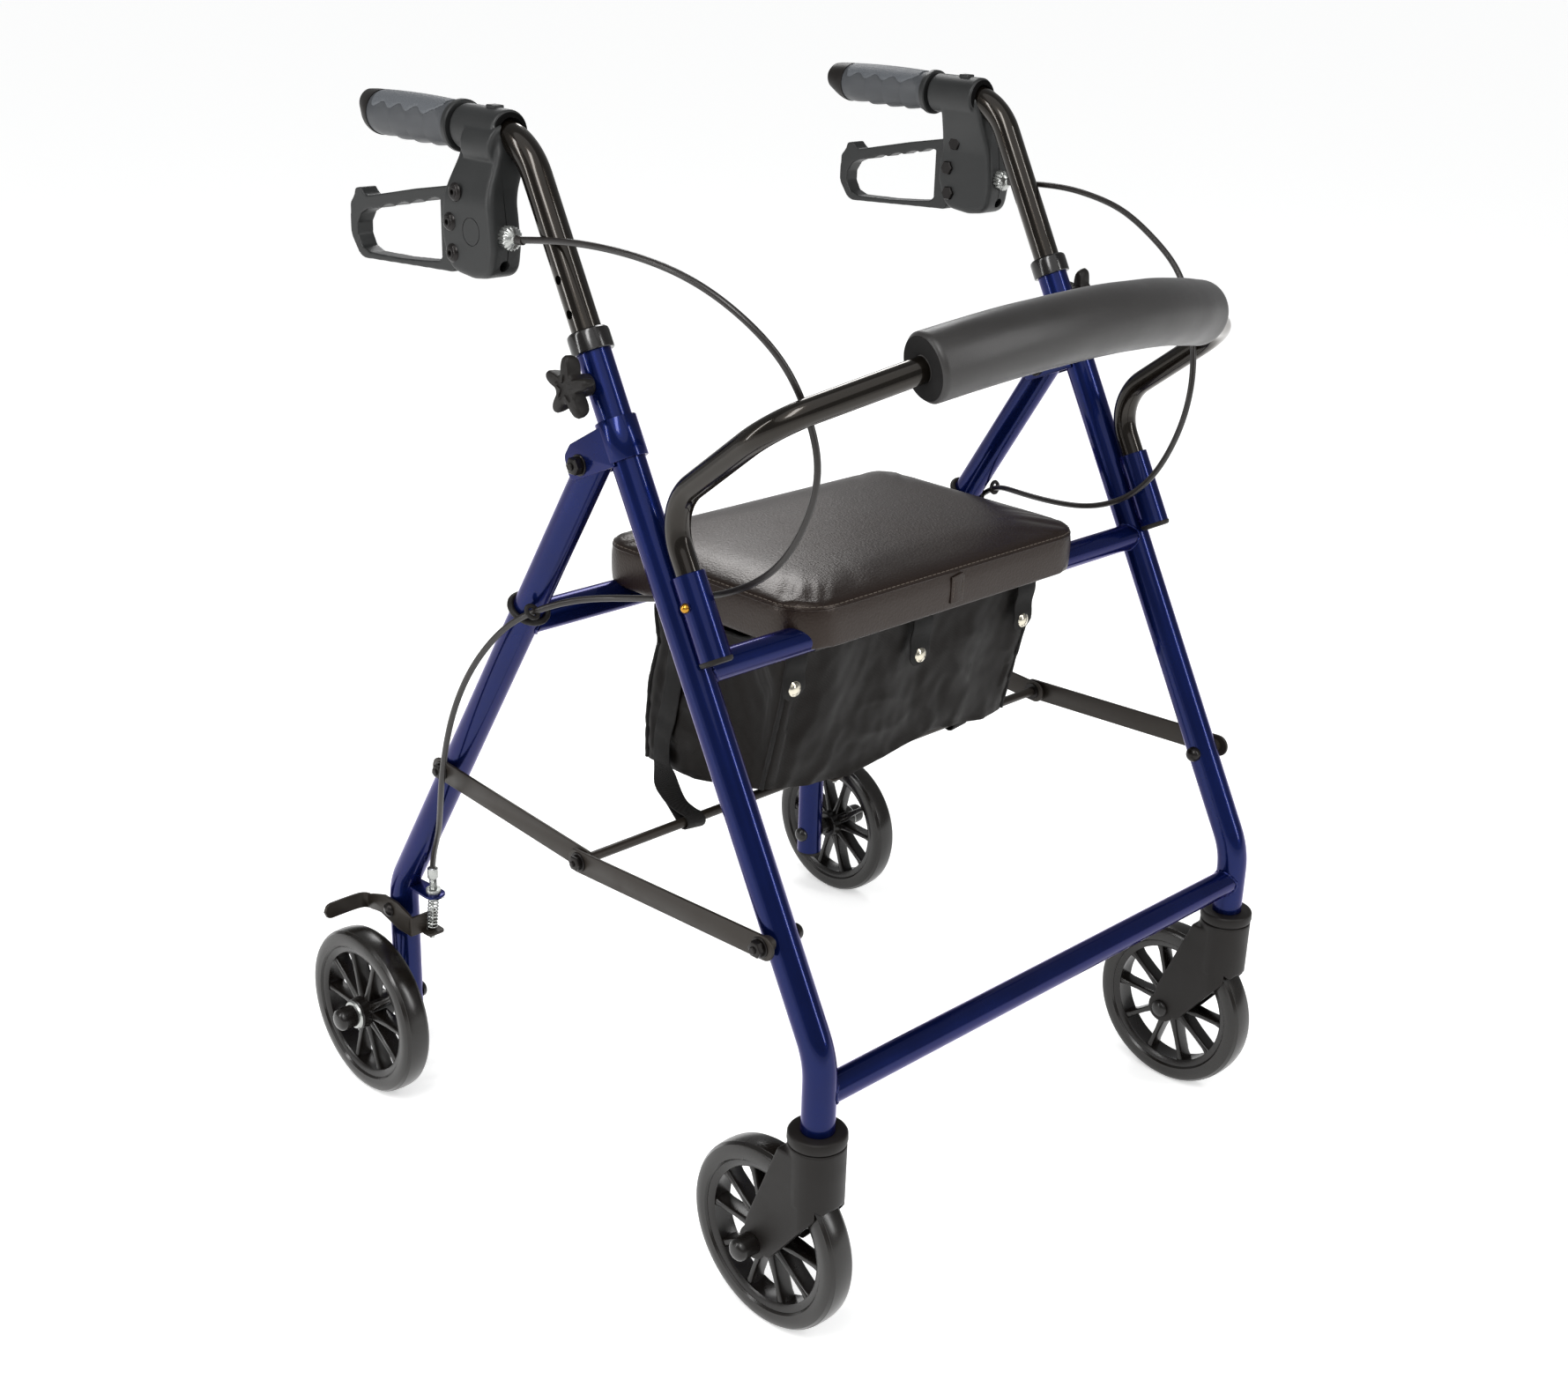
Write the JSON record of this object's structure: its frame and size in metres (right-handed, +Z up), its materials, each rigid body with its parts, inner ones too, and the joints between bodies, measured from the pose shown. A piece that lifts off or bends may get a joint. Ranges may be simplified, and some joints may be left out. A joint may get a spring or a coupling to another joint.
{
  "type": "rollator walker",
  "caption": "Folding rollator walker with blue tubular frame, padded seat, storage bag, foam backrest and hand brakes",
  "frame": {"origin": "on the ground, under the middle of the footprint", "axes": "+Z up, -Y the direction of travel, +X the user's left"},
  "size_m": [0.668, 0.6264, 0.8695],
  "materials": {
    "frame_paint": "gloss metallic",
    "handle_paint": "gloss",
    "dark_steel": "satin",
    "zinc": "satin",
    "brass": "polished",
    "black_plastic": "matte",
    "brake_plastic": "matte",
    "grip_rubber": "matte",
    "tyre_rubber": "satin",
    "wheel_plastic": "gloss",
    "seat_vinyl": "satin",
    "bag_nylon": "matte",
    "foam": "matte"
  },
  "bodies": {
    "front_frame": {"front_leg_left": "frame_paint", "front_leg_right": "frame_paint", "lower_crossbar": "frame_paint", "seat_crossbar": "frame_paint", "backrest_socket_left": "frame_paint", "backrest_socket_right": "frame_paint", "leg_collar_left": "black_plastic", "leg_collar_right": "black_plastic", "hinge_bolt_left": "dark_steel", "hinge_bolt_right": "dark_steel", "storage_bag": "bag_nylon", "backrest_bar": "handle_paint", "backrest_foam": "foam"},
    "rear_frame": {"rear_leg_left": "frame_paint", "rear_leg_right": "frame_paint", "rear_crossbar": "frame_paint", "rear_axle_left": "wheel_plastic", "rear_axle_right": "wheel_plastic", "cable_adjuster_left": "zinc", "cable_adjuster_right": "zinc", "brake_spring_left": "zinc", "brake_spring_right": "zinc"},
    "rear_braces": {"rear_brace_left": "dark_steel", "rear_brace_right": "dark_steel", "cross_rod": "dark_steel"},
    "seat": {"seat_board": "black_plastic", "seat_pad": "seat_vinyl"},
    "front_brace_link_left": {"front_brace_left": "dark_steel"},
    "handle_left": {"handle_tube_left": "handle_paint", "grip_left": "grip_rubber", "brake_housing_left": "brake_plastic", "barrel_adjuster_left": "zinc", "brake_cable_left": "black_plastic"},
    "lever_left": {"brake_lever_left": "brake_plastic"},
    "strap_left": {"brake_strap_left": "dark_steel"},
    "knob_left": {"star_knob_left": "black_plastic"},
    "caster_left": {"caster_fork_left": "black_plastic", "caster_axle_left": "wheel_plastic"},
    "caster_wheel_left": {"front_wheel_left": "wheel_plastic", "front_tyre_left": "tyre_rubber"},
    "drive_wheel_left": {"rear_wheel_left": "wheel_plastic", "rear_tyre_left": "tyre_rubber"},
    "button_left": {"snap_button_left": "brass"},
    "front_brace_link_right": {"front_brace_right": "dark_steel"},
    "handle_right": {"handle_tube_right": "handle_paint", "grip_right": "grip_rubber", "brake_housing_right": "brake_plastic", "barrel_adjuster_right": "zinc", "brake_cable_right": "black_plastic"},
    "lever_right": {"brake_lever_right": "brake_plastic"},
    "strap_right": {"brake_strap_right": "dark_steel"},
    "knob_right": {"star_knob_right": "black_plastic"},
    "caster_right": {"caster_fork_right": "black_plastic", "caster_axle_right": "wheel_plastic"},
    "caster_wheel_right": {"front_wheel_right": "wheel_plastic", "front_tyre_right": "tyre_rubber"},
    "drive_wheel_right": {"rear_wheel_right": "wheel_plastic", "rear_tyre_right": "tyre_rubber"},
    "button_right": {"snap_button_right": "brass"}
  },
  "joints": [
    {"name": "fold", "type": "hinge", "parent": "front_frame", "child": "rear_frame", "pos_m": [0, -0.033, 0.631], "axis": [-1, 0, 0], "range_deg": [0, 33], "deforming": ["storage_bag"]},
    {"name": "rear_brace_swing", "type": "hinge", "parent": "rear_frame", "child": "rear_braces", "pos_m": [0, 0.1499, 0.331], "axis": [-1, 0, 0], "range_deg": [0, 48]},
    {"name": "seat_flip", "type": "hinge", "parent": "front_frame", "child": "seat", "pos_m": [0, -0.1434, 0.501], "axis": [1, 0, 0], "range_deg": [0, 95]},
    {"name": "front_brace_swing_left", "type": "hinge", "parent": "front_frame", "child": "front_brace_link_left", "pos_m": [0.2575, -0.2368, 0.3265], "axis": [1, 0, 0], "range_deg": [0, 44.1]},
    {"name": "handle_height_left", "type": "slide", "parent": "front_frame", "child": "handle_left", "axis": [0, 0.4713, 0.882], "range_m": [-0.0508, 0.0508], "deforming": ["brake_cable_left"]},
    {"name": "brake_squeeze_left", "type": "hinge", "parent": "handle_left", "child": "lever_left", "pos_m": [0.272, 0.092, 0.79], "axis": [1, 0, 0], "range_deg": [0, 12], "stiffness_Nm_per_rad": 1.5, "springref_deg": -5.73},
    {"name": "strap_press_left", "type": "hinge", "parent": "rear_frame", "child": "strap_left", "pos_m": [0.2575, 0.237, 0.167], "axis": [-1, 0, 0], "range_deg": [0, 12], "deforming": ["brake_spring_left"]},
    {"name": "knob_turn_left", "type": "hinge", "parent": "front_frame", "child": "knob_left", "pos_m": [0.2575, -0.04199, 0.691], "axis": [1, 0, 0], "continuous": true},
    {"name": "caster_swivel_left", "type": "hinge", "parent": "front_frame", "child": "caster_left", "pos_m": [0.2575, -0.28, 0.187], "axis": [0, 0, 1], "continuous": true},
    {"name": "front_wheel_spin_left", "type": "hinge", "parent": "caster_left", "child": "caster_wheel_left", "pos_m": [0.2575, -0.237, 0.0762], "axis": [1, 0, 0], "continuous": true},
    {"name": "rear_wheel_spin_left", "type": "hinge", "parent": "rear_frame", "child": "drive_wheel_left", "pos_m": [0.298, 0.237, 0.0762], "axis": [1, 0, 0], "continuous": true},
    {"name": "button_press_left", "type": "slide", "parent": "front_frame", "child": "button_left", "axis": [-1, 0, 0], "range_m": [0, 0.004], "stiffness_N_per_m": 300, "springref_m": -0.002},
    {"name": "front_brace_swing_right", "type": "hinge", "parent": "front_frame", "child": "front_brace_link_right", "pos_m": [-0.2575, -0.2368, 0.3265], "axis": [1, 0, 0], "range_deg": [0, 44.1]},
    {"name": "handle_height_right", "type": "slide", "parent": "front_frame", "child": "handle_right", "axis": [0, 0.4713, 0.882], "range_m": [-0.0508, 0.0508], "deforming": ["brake_cable_right"]},
    {"name": "brake_squeeze_right", "type": "hinge", "parent": "handle_right", "child": "lever_right", "pos_m": [-0.272, 0.092, 0.79], "axis": [1, 0, 0], "range_deg": [0, 12], "stiffness_Nm_per_rad": 1.5, "springref_deg": -5.73},
    {"name": "strap_press_right", "type": "hinge", "parent": "rear_frame", "child": "strap_right", "pos_m": [-0.2575, 0.237, 0.167], "axis": [-1, 0, 0], "range_deg": [0, 12], "deforming": ["brake_spring_right"]},
    {"name": "knob_turn_right", "type": "hinge", "parent": "front_frame", "child": "knob_right", "pos_m": [-0.2575, -0.04199, 0.691], "axis": [1, 0, 0], "continuous": true},
    {"name": "caster_swivel_right", "type": "hinge", "parent": "front_frame", "child": "caster_right", "pos_m": [-0.2575, -0.28, 0.187], "axis": [0, 0, 1], "continuous": true},
    {"name": "front_wheel_spin_right", "type": "hinge", "parent": "caster_right", "child": "caster_wheel_right", "pos_m": [-0.2575, -0.237, 0.0762], "axis": [1, 0, 0], "continuous": true},
    {"name": "rear_wheel_spin_right", "type": "hinge", "parent": "rear_frame", "child": "drive_wheel_right", "pos_m": [-0.298, 0.237, 0.0762], "axis": [1, 0, 0], "continuous": true},
    {"name": "button_press_right", "type": "slide", "parent": "front_frame", "child": "button_right", "axis": [1, 0, 0], "range_m": [0, 0.004], "stiffness_N_per_m": 300, "springref_m": -0.002}
  ],
  "couplings": [
    {"joint": "rear_brace_swing", "follows": "fold", "ratio": 1.4529},
    {"joint": "front_brace_swing_left", "follows": "fold", "ratio": 1.3339},
    {"joint": "strap_press_left", "follows": "brake_squeeze_left", "ratio": 1},
    {"joint": "front_brace_swing_right", "follows": "fold", "ratio": 1.3339},
    {"joint": "strap_press_right", "follows": "brake_squeeze_right", "ratio": 1}
  ]
}
